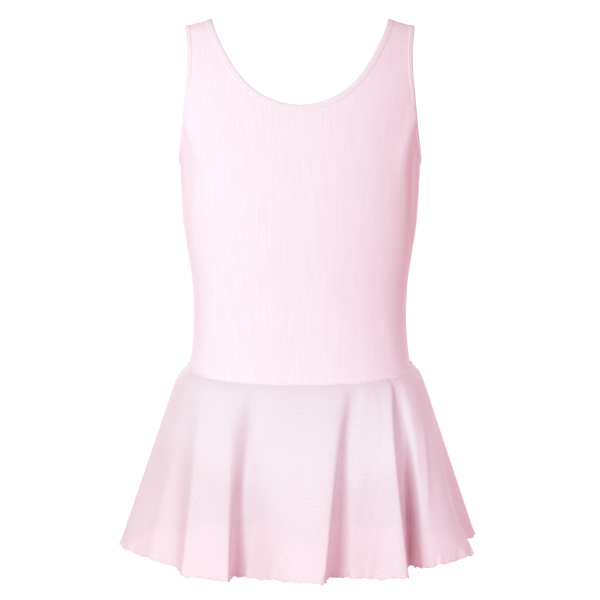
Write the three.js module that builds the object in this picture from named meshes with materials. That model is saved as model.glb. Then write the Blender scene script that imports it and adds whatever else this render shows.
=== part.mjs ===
// A child's skirted ballet leotard, in the hollow shape it has when worn, with nobody in it.
// Millimetres, +Z up, the front faces -Y and the wearer's left is +X.
// The origin is between the shoulders, level with the crest of the straps, where the wearer carries it.
import * as THREE from "three";

// Wall thicknesses of the cloths, and how far apart two sewn pieces stay.
const JERSEY = 1.2;
const GEORGETTE = 1.0;
const BINDING = { out: 0.3, in: 1.5, crown: 0.35 };
const SEAM_GAP = 0.3;

// Widths of the elastic bindings, and how square the rings are: 2 is an ellipse.
const BINDING_WIDTH = { neck: 6, armhole: 5, leg: 5.5 };
const SQUARENESS = 2.6;

// A place out in each opening on the wearer's left. Its edge's cloth lies on the far side of the edge.
const OUT_IN_OPENING = { neck: [0, 0, 10], armhole: [140, 0, -60], leg: [140, 0, -460] };

// Rings of the bodice from the waist seam up to the crest of the shoulders:
// half width, and the reach to the front and to the back.
const BODICE_RINGS = [
  { z: -325, wide: 102, front: 75.5, back: 75 },
  { z: -300, wide: 97, front: 74, back: 67 },
  { z: -275, wide: 93.8, front: 72.5, back: 62.5 },
  { z: -250, wide: 92.8, front: 71.5, back: 60.5 },
  { z: -225, wide: 94, front: 71.5, back: 62 },
  { z: -200, wide: 97.6, front: 72.5, back: 65.5 },
  { z: -175, wide: 101.4, front: 73.5, back: 69.5 },
  { z: -150, wide: 103.2, front: 73.5, back: 72 },
  { z: -120, wide: 104.8, front: 70.5, back: 72 },
  { z: -92, wide: 107.3, front: 65, back: 68 },
  { z: -66, wide: 110.8, front: 57, back: 60 },
  { z: -42, wide: 113, front: 46, back: 48 },
  { z: -22, wide: 113.2, front: 31.5, back: 32.5 },
  { z: -8, wide: 112.4, front: 18, back: 18.5 },
  { z: -1.5, wide: 112, front: 8, back: 8 },
  { z: 0, wide: 112, front: 0, back: 0 },
];

// Rings of the brief from the waist seam down to the crotch.
const BRIEF_RINGS = [
  { z: -275, wide: 93.8, front: 72.5, back: 62.5 },
  { z: -300, wide: 97, front: 74, back: 67 },
  { z: -325, wide: 102, front: 75.5, back: 75 },
  { z: -348, wide: 105.8, front: 76.5, back: 82 },
  { z: -368, wide: 107, front: 76, back: 86 },
  { z: -392, wide: 108, front: 73, back: 85 },
  { z: -415, wide: 108, front: 66, back: 77 },
  { z: -434, wide: 107, front: 52, back: 61 },
  { z: -447, wide: 106, front: 33, back: 39 },
  { z: -454, wide: 106, front: 14, back: 17 },
  { z: -456, wide: 106, front: 0, back: 0 },
];

// The neckline is an arc of an ellipse on the front and a deeper one on the back.
const NECK = { halfWidth: 82, atShoulder: 76.4, frontBottom: -69.6, backBottom: -102 };

// The armhole from under the arm to the crest of the shoulder: the share of the ring's depth where it lies.
const ARMHOLE = [
  { z: -118, share: 0 },
  { z: -114, share: 0.19 },
  { z: -103, share: 0.36 },
  { z: -86, share: 0.49 },
  { z: -64, share: 0.59 },
  { z: -42, share: 0.645 },
  { z: -22, share: 0.65 },
  { z: -8, share: 0.62 },
  { z: 0, share: 0.6 },
];

// The leg opening from the hip down to the crotch: the share of the ring's width where it lies.
const LEG = {
  front: [
    { z: -364, share: 1 },
    { z: -366, share: 0.93 },
    { z: -373, share: 0.79 },
    { z: -386, share: 0.565 },
    { z: -401, share: 0.36 },
    { z: -418, share: 0.225 },
    { z: -436, share: 0.175 },
    { z: -450, share: 0.17 },
    { z: -456, share: 0.17 },
  ],
  back: [
    { z: -364, share: 1 },
    { z: -367, share: 0.985 },
    { z: -378, share: 0.93 },
    { z: -393, share: 0.82 },
    { z: -410, share: 0.65 },
    { z: -428, share: 0.42 },
    { z: -443, share: 0.235 },
    { z: -453, share: 0.18 },
    { z: -456, share: 0.17 },
  ],
};

// The waist seam is level at the sides and dips in front.
const WAIST = { side: -298, frontDip: 10, backRise: 2 };
// The shoulders slope down outwards from this distance off the middle.
const SHOULDER = { slope: 0.27, pivot: 88, from: -60 };

// The inside of the skirt's hem before its folds, and how the cloth springs out below the seam.
const SKIRT = { wide: 156, front: 113, back: 116, side: -459, frontDip: 10 };
const SPRING = { out: 7.3, over: 0.035 };
const FOLD_LIFT = 0.07; // a ridge's hem hangs this share of its reach higher, and a valley's lower

// The folds round the skirt. at is the angle at the waist, 0 at the wearer's left side, 90 in front.
// x and y are where the fold meets the hem; grows is how late it forms below the seam.
const FOLDS = [
  { name: "left side seam", at: 0, x: 143, y: 9, grows: 1.2 },
  { name: "left side ridge", at: 8, x: 151.5, y: -15, grows: 1.2 },
  { name: "left side panel", at: 21, x: 128, y: -45, grows: 1.2 },
  { name: "left front valley", at: 33.5, x: 100, y: -64, grows: 1.15 },
  { name: "left front wall", at: 40, x: 92.5, y: -92, grows: 1.0 },
  { name: "left front ridge", at: 47, x: 86, y: -119, grows: 0.9 },
  { name: "left front panel", at: 55, x: 66, y: -116, grows: 1.1 },
  { name: "middle valley", at: 64, x: 41, y: -93, grows: 1.25 },
  { name: "middle wall", at: 70, x: 26.5, y: -112, grows: 1.2 },
  { name: "middle ridge", at: 77, x: 18, y: -140, grows: 1.2 },
  { name: "middle panel", at: 92, x: -12, y: -122, grows: 1.3 },
  { name: "right front valley", at: 107, x: -46, y: -89, grows: 1.35 },
  { name: "right front wall", at: 114, x: -57, y: -104, grows: 1.2 },
  { name: "right front ridge", at: 124, x: -73, y: -129, grows: 1.2 },
  { name: "right front edge", at: 134, x: -99.5, y: -108, grows: 1.15 },
  { name: "right front dip", at: 145, x: -109, y: -70, grows: 1.2 },
  { name: "right side panel", at: 162, x: -133, y: -42, grows: 1.2 },
  { name: "right side seam", at: 180, x: -159, y: 4, grows: 1.2 },
  { name: "right back dip", at: 193, x: -142, y: 48, grows: 1.2 },
  { name: "right back ridge", at: 207, x: -140, y: 88, grows: 1.2 },
  { name: "right back valley", at: 221, x: -104, y: 86, grows: 1.2 },
  { name: "right rear ridge", at: 235, x: -87, y: 127, grows: 1.2 },
  { name: "right rear valley", at: 249, x: -52, y: 108, grows: 1.2 },
  { name: "middle rear ridge", at: 263, x: -27, y: 142, grows: 1.2 },
  { name: "middle rear valley", at: 278, x: 8, y: 112, grows: 1.2 },
  { name: "left rear ridge", at: 293, x: 43, y: 140, grows: 1.2 },
  { name: "left rear valley", at: 307, x: 66, y: 106, grows: 1.2 },
  { name: "left back ridge", at: 321, x: 110, y: 113, grows: 1.2 },
  { name: "left back valley", at: 334, x: 118, y: 74, grows: 1.2 },
  { name: "left side back ridge", at: 347, x: 157, y: 58, grows: 1.2 },
];

// How finely the solids are cut: rows along each edge of a panel, and columns from side to middle.
// rise is how late a panel's rows climb from its side to its middle, where 1 is evenly.
const BODICE_GRID = { side: 10, armhole: 14, frontNeck: 11, backNeck: 13, across: 9, rise: 1.6 };
const BRIEF_GRID = { side: 3, leg: 11, across: 9, rise: 1, hipAtMiddle: -322 };
const SKIRT_GRID = { perFold: 6, down: 9, closerAbove: 1.2 };
const BEND_ROOM = 14; // an edge gets this many more millimetres' worth of rows for a bend of a radian

// How closely places are worked out: a small step, the steps along an edge, and the solver's passes.
const STEP = 1e-3;
const FINE_STEPS = 600;
const SOLVER_PASSES = 6;
const HALVINGS = 40;

const RIGHT_ANGLE = Math.PI / 2;
const degrees = (angle) => (angle * Math.PI) / 180;
const clamp = THREE.MathUtils.clamp;

// A smooth value through four neighbours, a share of the way from the second to the third.
function through(before, from, to, after, share) {
  const rise = (to - before) / 2;
  const fall = (after - from) / 2;
  const cube = 2 * from - 2 * to + rise + fall;
  const square = 3 * to - 3 * from - 2 * rise - fall;
  return ((cube * share + square) * share + rise) * share + from;
}

// Reads a table smoothly at a row number that needs not be whole. mirrored names the columns
// that change sign where the rows are continued past an end.
function readTable(rows, row, mirroredStart = null, mirroredEnd = null) {
  const last = rows.length - 1;
  const start = clamp(Math.floor(row), 0, last - 1);
  const pick = (index, column) => {
    if (index < 0) {
      const value = rows[-index][column];
      if (!mirroredStart) return 2 * rows[0][column] - value;
      return mirroredStart.includes(column) ? -value : value;
    }
    if (index > last) {
      const value = rows[2 * last - index][column];
      if (!mirroredEnd) return 2 * rows[last][column] - value;
      return mirroredEnd.includes(column) ? -value : value;
    }
    return rows[index][column];
  };
  const read = {};
  for (const column of Object.keys(rows[0])) {
    const [a, b, c, d] = [-1, 0, 1, 2].map((step) => pick(start + step, column));
    read[column] = through(a, b, c, d, row - start);
  }
  return read;
}

// A body form is a table of rings. Past its closed end the front and the back change places.
function makeForm(rings) {
  const closedEnd = rings.length - 1;
  const ringAt = (level) => {
    if (level <= closedEnd) return readTable(rings, level, null, ["front", "back"]);
    const mirrored = readTable(rings, 2 * closedEnd - level, null, ["front", "back"]);
    return { z: mirrored.z, wide: mirrored.wide, front: -mirrored.back, back: -mirrored.front };
  };
  const upwards = Math.sign(rings[closedEnd].z - rings[0].z);
  const levelOf = (z) => {
    let low = 0;
    let high = closedEnd;
    for (let halving = 0; halving < HALVINGS; halving += 1) {
      const middle = (low + high) / 2;
      if ((ringAt(middle).z - z) * upwards < 0) low = middle;
      else high = middle;
    }
    return (low + high) / 2;
  };
  return { closedEnd, ringAt, levelOf, upwards };
}

const BODICE = makeForm(BODICE_RINGS);
const BRIEF = makeForm(BRIEF_RINGS);

// The unit ring at an angle: 0 is the wearer's left side and a right angle is the front.
function unitRing(angle) {
  const across = Math.cos(angle);
  const ahead = Math.sin(angle);
  const power = Math.abs(across) ** SQUARENESS + Math.abs(ahead) ** SQUARENESS;
  const reach = power ** (-1 / SQUARENESS);
  return { across: across * reach, ahead: ahead * reach };
}

// The angle whose share of the ring's width, or of its depth, is given.
function angleAtWidth(share) {
  const ahead = (1 - Math.min(1, share) ** SQUARENESS) ** (1 / SQUARENESS);
  return Math.atan2(ahead, share);
}
function angleAtDepth(share) {
  const across = (1 - share ** SQUARENESS) ** (1 / SQUARENESS);
  return Math.atan2(share, across);
}

// The point of a form at an angle and a level.
function formPoint(form, angle, level) {
  const ring = form.ringAt(level);
  const { across, ahead } = unitRing(angle);
  const x = ring.wide * across;
  const depth = ahead > 0 ? ring.front : ring.back;
  const nearTop = THREE.MathUtils.smoothstep(ring.z, SHOULDER.from, 0);
  const slope = SHOULDER.slope * (Math.abs(x) - SHOULDER.pivot) * nearTop;
  return new THREE.Vector3(x, -depth * ahead, ring.z - slope);
}

// The outward normal of a form there.
function formNormal(form, angle, level) {
  const round = formPoint(form, angle + STEP, level).sub(formPoint(form, angle - STEP, level));
  const along = formPoint(form, angle, level + STEP).sub(formPoint(form, angle, level - STEP));
  return round.cross(along).normalize().multiplyScalar(-form.upwards);
}

// The height of the waist seam at an angle.
function seamHeight(angle) {
  const { ahead } = unitRing(angle);
  if (ahead > 0) return WAIST.side - WAIST.frontDip * ahead ** 1.5;
  return WAIST.side + WAIST.backRise * Math.abs(ahead) ** 1.5;
}

// Edges of the cloth, from 0 to 1, each a place on a form. facing is 1 for the front and -1 for the back.
function neckEdge(facing) {
  const bottom = facing > 0 ? NECK.frontBottom : NECK.backBottom;
  const turn = Math.asin(NECK.atShoulder / NECK.halfWidth);
  const crest = BODICE_RINGS[BODICE.closedEnd].z;
  const rise = (crest - bottom) / (1 - Math.cos(turn));
  return (share) => {
    const arc = share * turn;
    const height = bottom + rise * (1 - Math.cos(arc));
    const level = share >= 1 ? BODICE.closedEnd : BODICE.levelOf(height);
    const ring = BODICE.ringAt(level);
    const angle = angleAtWidth((NECK.halfWidth * Math.sin(arc)) / ring.wide);
    return { angle: facing * angle, level };
  };
}

function armholeEdge(facing) {
  return (share) => {
    const read = readTable(ARMHOLE, share * (ARMHOLE.length - 1), ["share"]);
    const level = share >= 1 ? BODICE.closedEnd : BODICE.levelOf(read.z);
    return { angle: facing * angleAtDepth(Math.max(0, read.share)), level };
  };
}

function legEdge(facing) {
  const rows = facing > 0 ? LEG.front : LEG.back;
  return (share) => {
    const read = readTable(rows, share * (rows.length - 1));
    const level = share >= 1 ? BRIEF.closedEnd : BRIEF.levelOf(read.z);
    const angle = share <= 0 ? 0 : angleAtWidth(clamp(read.share, 0, 1));
    return { angle: facing * angle, level };
  };
}

// Places along an edge, evenly spaced but closer together where it bends.
function evenShares(form, edge, count) {
  const fine = FINE_STEPS;
  const run = [0];
  let last = null;
  let lastWay = null;
  for (let index = 0; index <= fine; index += 1) {
    const { angle, level } = edge(index / fine);
    const point = formPoint(form, angle, level);
    if (last) {
      const way = point.clone().sub(last);
      const bend = lastWay ? way.angleTo(lastWay) : 0;
      run.push(run[index - 1] + way.length() + BEND_ROOM * bend);
      lastWay = way;
    }
    last = point;
  }
  const shares = [];
  let index = 0;
  for (let step = 0; step <= count; step += 1) {
    const wanted = (run[fine] * step) / count;
    while (index < fine && run[index] < wanted) index += 1;
    shares.push(index / fine);
  }
  shares[0] = 0;
  shares[count] = 1;
  return shares;
}

// The place that lies a distance into the cloth from an opening's edge, measured on the form.
function inset(opening, edge, share, distance) {
  const { form } = opening;
  const place = edge(share);
  if (distance === 0) return place;
  const at = (where) => formPoint(form, edge(clamp(where, 0, 1)).angle, edge(clamp(where, 0, 1)).level);
  const start = at(share);
  let run = at(share + STEP).sub(at(share - STEP));
  if (share === 0) run = opening.ends[0].clone();
  if (share === 1) run = opening.ends[1].clone();
  const aim = formNormal(form, place.angle, place.level).cross(run).setLength(distance);
  if (aim.dot(start.clone().sub(opening.out)) < 0) aim.negate();
  const goal = start.add(aim);
  // A few steps of least squares find the angle and the level of that point.
  const here = { angle: place.angle, level: place.level };
  for (let pass = 0; pass < SOLVER_PASSES; pass += 1) {
    const point = formPoint(form, here.angle, here.level);
    const byAngle = formPoint(form, here.angle + STEP, here.level).sub(point).divideScalar(STEP);
    const byLevel = formPoint(form, here.angle, here.level + STEP).sub(point).divideScalar(STEP);
    const miss = goal.clone().sub(point);
    const [aa, ab, bb] = [byAngle.dot(byAngle), byAngle.dot(byLevel), byLevel.dot(byLevel)];
    const [am, bm] = [byAngle.dot(miss), byLevel.dot(miss)];
    const whole = aa * bb - ab * ab;
    here.angle += (am * bb - bm * ab) / whole;
    here.level += (bm * aa - am * ab) / whole;
  }
  return here;
}

// The three kinds of opening. ends are the directions of the edge where it crosses from front to back.
const SIDEWAYS = new THREE.Vector3(1, 0, 0);
const BACKWARDS = new THREE.Vector3(0, 1, 0);
function makeOpening(name, form, edgeOf, ends) {
  const out = new THREE.Vector3(...OUT_IN_OPENING[name]);
  return { form, edgeOf, ends, out, width: BINDING_WIDTH[name] };
}
const NECK_OPENING = makeOpening("neck", BODICE, neckEdge, [SIDEWAYS, BACKWARDS]);
const ARMHOLE_OPENING = makeOpening("armhole", BODICE, armholeEdge, [BACKWARDS, BACKWARDS]);
const LEG_OPENING = makeOpening("leg", BRIEF, legEdge, [BACKWARDS, BACKWARDS]);

// Closes an open sheet into a wall. The sheet has points, outward normals, triangles that face
// outwards, and for each point how far the wall reaches out of and into the sheet.
function wall(sheet) {
  const count = sheet.points.length;
  const positions = [];
  const place = (side) => (point, index) => {
    const reach = side > 0 ? sheet.out[index] : -sheet.in[index];
    const moved = point.clone().addScaledVector(sheet.normals[index], reach);
    positions.push(moved.x, moved.y, moved.z);
  };
  sheet.points.forEach(place(1));
  sheet.points.forEach(place(-1));
  const faces = [];
  const edges = new Map();
  for (const [a, b, c] of sheet.triangles) {
    faces.push(a, b, c, a + count, c + count, b + count);
    for (const [from, to] of [
      [a, b],
      [b, c],
      [c, a],
    ]) {
      const back = `${to}:${from}`;
      if (edges.has(back)) edges.delete(back);
      else edges.set(`${from}:${to}`, [from, to]);
    }
  }
  for (const [from, to] of edges.values()) {
    faces.push(to, from, from + count, to, from + count, to + count);
  }
  const geometry = new THREE.BufferGeometry();
  geometry.setAttribute("position", new THREE.Float32BufferAttribute(positions, 3));
  geometry.setIndex(faces);
  geometry.computeVertexNormals();
  return geometry;
}

// Two triangles for a cell, split along its shorter diagonal and facing along the sheet's normals.
function addCell(sheet, ...corners) {
  const [a, b, c, d] = corners.map((corner) => sheet.points[corner]);
  const [ia, ib, ic, id] = corners;
  const facing = c.clone().sub(a).cross(d.clone().sub(b));
  const forwards = facing.dot(sheet.normals[ia]) > 0;
  const split = a.distanceTo(c) < b.distanceTo(d) ? [ia, ib, ic, ia, ic, id] : [ia, ib, id, ib, ic, id];
  for (const start of [0, 3]) {
    const [first, second, third] = split.slice(start, start + 3);
    sheet.triangles.push(forwards ? [first, second, third] : [first, third, second]);
  }
}

const newSheet = () => ({ points: [], normals: [], out: [], in: [], triangles: [] });

function addPoint(sheet, form, place, mirror, shift, out, into) {
  const point = formPoint(form, place.angle, place.level);
  const normal = formNormal(form, place.angle, place.level);
  point.x *= mirror;
  normal.x *= mirror;
  point.y += shift;
  sheet.points.push(point);
  sheet.normals.push(normal);
  sheet.out.push(out);
  sheet.in.push(into);
  return sheet.points.length - 1;
}

// A panel that is the same on both sides. sides and middles are the places where each row starts,
// at the side seam or an opening's edge, and where it ends, on the middle line up to row joined
// and on the edge of the neck above it.
function bodyPanel(form, sides, middles, joined, { across, rise }, facing) {
  const sheet = newSheet();
  const shift = (-facing * SEAM_GAP) / 2;
  const index = { 1: [], [-1]: [] };
  for (const mirror of [1, -1]) {
    sides.forEach((side, row) => {
      index[mirror].push([]);
      for (let column = 0; column <= across; column += 1) {
        if (mirror === -1 && column === across && row <= joined) {
          index[mirror][row].push(index[1][row][across]);
          continue;
        }
        const share = column / across;
        const place = {
          angle: THREE.MathUtils.lerp(side.angle, middles[row].angle, share),
          level: THREE.MathUtils.lerp(side.level, middles[row].level, share ** rise),
        };
        if (row === 0) place.level = form.levelOf(seamHeight(place.angle) + form.seamShift);
        index[mirror][row].push(addPoint(sheet, form, place, mirror, shift, 0, JERSEY));
      }
    });
  }
  for (const mirror of [1, -1]) {
    const rows = index[mirror];
    for (let row = 0; row + 1 < rows.length; row += 1) {
      for (let column = 0; column < across; column += 1) {
        addCell(
          sheet,
          rows[row][column],
          rows[row][column + 1],
          rows[row + 1][column + 1],
          rows[row + 1][column],
        );
      }
    }
  }
  return wall(sheet);
}

BODICE.seamShift = SEAM_GAP / 2;
BRIEF.seamShift = -SEAM_GAP / 2;

// Even steps up the side seam, or up the middle, to a place where an edge takes over.
function levelsUpTo(form, angle, last, count) {
  const first = form.levelOf(seamHeight(angle));
  const places = [];
  for (let row = 0; row < count; row += 1) {
    places.push({ angle, level: THREE.MathUtils.lerp(first, last, row / count) });
  }
  return places;
}

// The edge that a panel has along an opening, a seam's gap past the opening's binding.
// Its first place lies exactly on the line that leads up to it.
function panelEdge(opening, facing, count, firstAngle) {
  const edge = opening.edgeOf(facing);
  const places = evenShares(opening.form, edge, count).map((share) =>
    inset(opening, edge, share, opening.width + SEAM_GAP),
  );
  places[0].angle = firstAngle;
  return places;
}

function bodicePanel(facing) {
  const { side, armhole, frontNeck, backNeck } = BODICE_GRID;
  const neckRows = facing > 0 ? frontNeck : backNeck;
  const middle = side + armhole - neckRows;
  const front = facing * RIGHT_ANGLE;
  const arm = panelEdge(ARMHOLE_OPENING, facing, armhole, 0);
  const neck = panelEdge(NECK_OPENING, facing, neckRows, front);
  const sides = [...levelsUpTo(BODICE, 0, arm[0].level, side), ...arm];
  const middles = [...levelsUpTo(BODICE, front, neck[0].level, middle), ...neck];
  return bodyPanel(BODICE, sides, middles, middle, BODICE_GRID, facing);
}

function briefPanel(facing) {
  const { side, leg, hipAtMiddle } = BRIEF_GRID;
  const front = facing * RIGHT_ANGLE;
  const hem = panelEdge(LEG_OPENING, facing, leg, 0);
  const sides = [...levelsUpTo(BRIEF, 0, hem[0].level, side), ...hem];
  const hip = BRIEF.levelOf(hipAtMiddle);
  const middles = levelsUpTo(BRIEF, front, hip, side);
  for (let row = 0; row <= leg; row += 1) {
    const even = THREE.MathUtils.lerp(hip, BRIEF.closedEnd, row / leg);
    middles.push({ angle: front, level: THREE.MathUtils.lerp(even, hem[row].level, row / leg) });
  }
  return bodyPanel(BRIEF, sides, middles, side + leg, BRIEF_GRID, facing);
}

// The stops from one end of an edge to the other, without the last.
function stopsAlong(opening, facing, count, mirror, backwards) {
  const edge = opening.edgeOf(facing);
  const shares = evenShares(opening.form, edge, count);
  if (backwards) shares.reverse();
  return shares.slice(0, count).map((share) => ({ edge, share, mirror }));
}

// A binding is a crowned band that follows an opening all the way round, as a closed loop of stops.
function binding(opening, stops) {
  const sheet = newSheet();
  const lines = [0, 0.5, 1];
  for (const { edge, share, mirror } of stops) {
    for (const line of lines) {
      const place = inset(opening, edge, share, opening.width * line);
      const crown = line === 0.5 ? BINDING.crown : 0;
      addPoint(sheet, opening.form, place, mirror, 0, BINDING.out + crown, BINDING.in);
    }
  }
  for (let stop = 0; stop < stops.length; stop += 1) {
    const here = stop * lines.length;
    const next = ((stop + 1) % stops.length) * lines.length;
    for (let line = 0; line + 1 < lines.length; line += 1) {
      addCell(sheet, here + line, here + line + 1, next + line + 1, next + line);
    }
  }
  return wall(sheet);
}

function neckBinding() {
  const { frontNeck, backNeck } = BODICE_GRID;
  return binding(NECK_OPENING, [
    ...stopsAlong(NECK_OPENING, 1, frontNeck, 1, false),
    ...stopsAlong(NECK_OPENING, -1, backNeck, 1, true),
    ...stopsAlong(NECK_OPENING, -1, backNeck, -1, false),
    ...stopsAlong(NECK_OPENING, 1, frontNeck, -1, true),
  ]);
}

function sideBinding(opening, count, mirror) {
  return binding(opening, [
    ...stopsAlong(opening, 1, count, mirror, false),
    ...stopsAlong(opening, -1, count, mirror, true),
  ]);
}

// The closed curve of the hem, seen from above, through the folds.
const HEM_CURVE = new THREE.CatmullRomCurve3(
  FOLDS.map((fold) => new THREE.Vector3(fold.x, fold.y, 0)),
  true,
  "catmullrom",
  0.58,
);

// The skirt's inside at a place round it, counted in folds, and a share of the way down.
function skirtPoint(place, down) {
  const count = FOLDS.length;
  const first = Math.floor(place);
  const row = (step) => FOLDS[(((first + step) % count) + count) % count];
  const turn = (step) => Math.floor((first + step) / count) * 360;
  const share = place - first;
  const at = (column, extra = () => 0) =>
    through(...[-1, 0, 1, 2].map((step) => row(step)[column] + extra(step)), share);
  const angle = degrees(at("at", turn));
  const grows = at("grows");
  const top = formPoint(BRIEF, angle, BRIEF.levelOf(seamHeight(angle)));
  const unit = unitRing(angle);
  const outwards = new THREE.Vector3(unit.across, -unit.ahead, 0).normalize();
  const depth = unit.ahead > 0 ? SKIRT.front : SKIRT.back;
  const plain = new THREE.Vector3(SKIRT.wide * unit.across, -depth * unit.ahead, 0);
  const hem = HEM_CURVE.getPoint((((place / count) % 1) + 1) % 1);
  const fold = hem.sub(plain);
  const reach = fold.dot(outwards);
  const dip = unit.ahead > 0 ? SKIRT.frontDip * unit.ahead ** 1.5 : 0;
  const bottom = SKIRT.side - dip + FOLD_LIFT * reach;
  const spring = SPRING.out * (1 - down) * (1 - Math.exp(-down / SPRING.over));
  const point = new THREE.Vector3(top.x, top.y, 0).addScaledVector(outwards, SEAM_GAP);
  point.lerp(plain, down).addScaledVector(outwards, spring).addScaledVector(fold, down ** grows);
  point.z = THREE.MathUtils.lerp(top.z + SEAM_GAP, bottom, down);
  return point;
}

function skirtNormal(place, down) {
  const round = skirtPoint(place + STEP, down).sub(skirtPoint(place - STEP, down));
  const low = Math.min(1, down + STEP);
  const high = Math.max(0, down - STEP);
  const along = skirtPoint(place, low).sub(skirtPoint(place, high));
  return round.cross(along).normalize();
}

// One half of the skirt, from one side seam to the other.
function skirtHalf(from, to) {
  const sheet = newSheet();
  const columns = (to - from) * SKIRT_GRID.perFold;
  for (let column = 0; column <= columns; column += 1) {
    const place = from + column / SKIRT_GRID.perFold;
    for (let row = 0; row <= SKIRT_GRID.down; row += 1) {
      const down = (row / SKIRT_GRID.down) ** SKIRT_GRID.closerAbove;
      const point = skirtPoint(place, down);
      const run = skirtPoint(place + STEP, down).sub(skirtPoint(place - STEP, down));
      if (column === 0) point.add(run.setLength(SEAM_GAP / 2));
      if (column === columns) point.sub(run.setLength(SEAM_GAP / 2));
      sheet.points.push(point);
      sheet.normals.push(skirtNormal(place, down));
      sheet.out.push(GEORGETTE);
      sheet.in.push(0);
    }
  }
  const lines = SKIRT_GRID.down + 1;
  for (let column = 0; column < columns; column += 1) {
    for (let row = 0; row < SKIRT_GRID.down; row += 1) {
      const here = column * lines + row;
      addCell(sheet, here, here + 1, here + lines + 1, here + lines);
    }
  }
  return wall(sheet);
}

const jersey = new THREE.MeshStandardMaterial({ color: 0xf6e6ee, roughness: 0.85, metalness: 0 });
const georgette = new THREE.MeshStandardMaterial({ color: 0xf3dde8, roughness: 0.75, metalness: 0 });
const elastic = new THREE.MeshStandardMaterial({ color: 0xf8eaf1, roughness: 0.8, metalness: 0 });

const leotard = new THREE.Group();

function addPiece(name, geometry, material) {
  const mesh = new THREE.Mesh(geometry, material);
  mesh.name = name;
  leotard.add(mesh);
}

const sideFold = FOLDS.findIndex((fold) => fold.name === "right side seam");

addPiece("bodice_front", bodicePanel(1), jersey);
addPiece("bodice_back", bodicePanel(-1), jersey);
addPiece("brief_front", briefPanel(1), jersey);
addPiece("brief_back", briefPanel(-1), jersey);
addPiece("skirt_front", skirtHalf(0, sideFold), georgette);
addPiece("skirt_back", skirtHalf(sideFold, FOLDS.length), georgette);
addPiece("neck_binding", neckBinding(), elastic);
for (const [side, mirror] of [
  ["left", 1],
  ["right", -1],
]) {
  addPiece(`armhole_binding_${side}`, sideBinding(ARMHOLE_OPENING, BODICE_GRID.armhole, mirror), elastic);
  addPiece(`leg_binding_${side}`, sideBinding(LEG_OPENING, BRIEF_GRID.leg, mirror), elastic);
}

export default leotard;
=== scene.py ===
# %% [markdown]
# # A child's skirted ballet leotard
# The real one is a tank leotard of fine ribbed jersey with a short flared skirt of semi-sheer
# crepe georgette sewn into its waist seam. It could be sculpted by eye, but here each cut piece is
# laid on the same rings, edges and folds as the CAD solids, so that it stays in their frame.

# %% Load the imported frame
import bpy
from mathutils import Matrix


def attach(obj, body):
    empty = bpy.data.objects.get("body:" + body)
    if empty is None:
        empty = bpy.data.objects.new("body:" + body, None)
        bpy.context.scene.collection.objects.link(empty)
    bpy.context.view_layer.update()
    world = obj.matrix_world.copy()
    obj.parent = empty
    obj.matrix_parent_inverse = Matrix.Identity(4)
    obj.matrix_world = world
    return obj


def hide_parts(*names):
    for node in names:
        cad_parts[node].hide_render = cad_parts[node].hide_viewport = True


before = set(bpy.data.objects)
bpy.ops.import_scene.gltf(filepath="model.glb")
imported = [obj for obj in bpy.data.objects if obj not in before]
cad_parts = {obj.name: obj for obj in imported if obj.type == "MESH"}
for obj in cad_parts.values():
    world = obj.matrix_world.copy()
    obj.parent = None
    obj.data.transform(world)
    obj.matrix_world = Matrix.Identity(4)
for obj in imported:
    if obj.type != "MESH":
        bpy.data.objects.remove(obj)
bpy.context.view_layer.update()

# %% [markdown]
# ## Camera
# The photo is taken square from the front, a little above the waist. A long lens keeps the hem and
# the straps at one scale. The camera is added at its place and turned down by its elevation, which
# is simpler than aiming it with a constraint, and leaves nothing live on it.

# %% Place the camera
import math
import bpy
import numpy as np

MM = 0.001
ELEVATION = math.radians(5)
CAMERA_DISTANCE = 2.6
MIDDLE_HEIGHT = -0.2415
METRES_PER_PIXEL = 0.000875
IMAGE_PIXELS = 600

bpy.ops.object.select_all(action="DESELECT")
bpy.ops.object.camera_add(
    location=(
        0,
        -CAMERA_DISTANCE * math.cos(ELEVATION),
        MIDDLE_HEIGHT + CAMERA_DISTANCE * math.sin(ELEVATION),
    ),
    rotation=(math.radians(90) - ELEVATION, 0, 0),
)
camera = bpy.context.object
camera.data.angle = 2 * math.atan(IMAGE_PIXELS / 2 * METRES_PER_PIXEL / CAMERA_DISTANCE)
bpy.context.scene.camera = camera
print("Field of view in degrees:", round(math.degrees(camera.data.angle), 2))

# %% [markdown]
# ## Colours
# Colours are picked as sRGB hex values, as a maker would read them off a swatch, and shaders want
# linear light. One function turns the first into the second, so that no colour is typed twice.

# %% Turn a swatch into linear light
def swatch(hex_value):
    channels = [int(hex_value[start:start + 2], 16) / 255 for start in (1, 3, 5)]
    linear = [c / 12.92 if c <= 0.04045 else ((c + 0.055) / 1.055) ** 2.4 for c in channels]
    return (*linear, 1.0)


print("The jersey's pink in linear light:", [round(c, 3) for c in swatch("#f8e6ef")])

# %% [markdown]
# ## One helper for shader nodes
# A cloth is a few textures joined up, and the room's light is a few nodes too. This adds one node
# with its settings, values and links, so that each recipe below is short. A colour or a number is set
# on the node's own socket, and another node's output is linked to it.

# %% Add a node with its settings and links
def feed(owner, node, inputs):
    for name, value in inputs.items():
        if isinstance(value, bpy.types.NodeSocket):
            owner.node_tree.links.new(value, node.inputs[name])
        else:
            node.inputs[name].default_value = value


def add_node(owner, kind, inputs, **settings):
    node = owner.node_tree.nodes.new(kind)
    for name, value in settings.items():
        setattr(node, name, value)
    feed(owner, node, inputs)
    return node


def cloth_material(name, roughness, sheen, sheen_tint):
    material = bpy.data.materials.new(name)
    material.use_nodes = True
    shader = material.node_tree.nodes["Principled BSDF"]
    feed(material, shader, {
        "Roughness": roughness, "Specular IOR Level": 0.25, "Sheen Weight": sheen,
        "Sheen Roughness": 0.5, "Sheen Tint": swatch(sheen_tint),
    })
    where = add_node(material, "ShaderNodeUVMap", {}, uv_map="UVMap")
    return material, shader, where.outputs["UV"]


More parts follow.
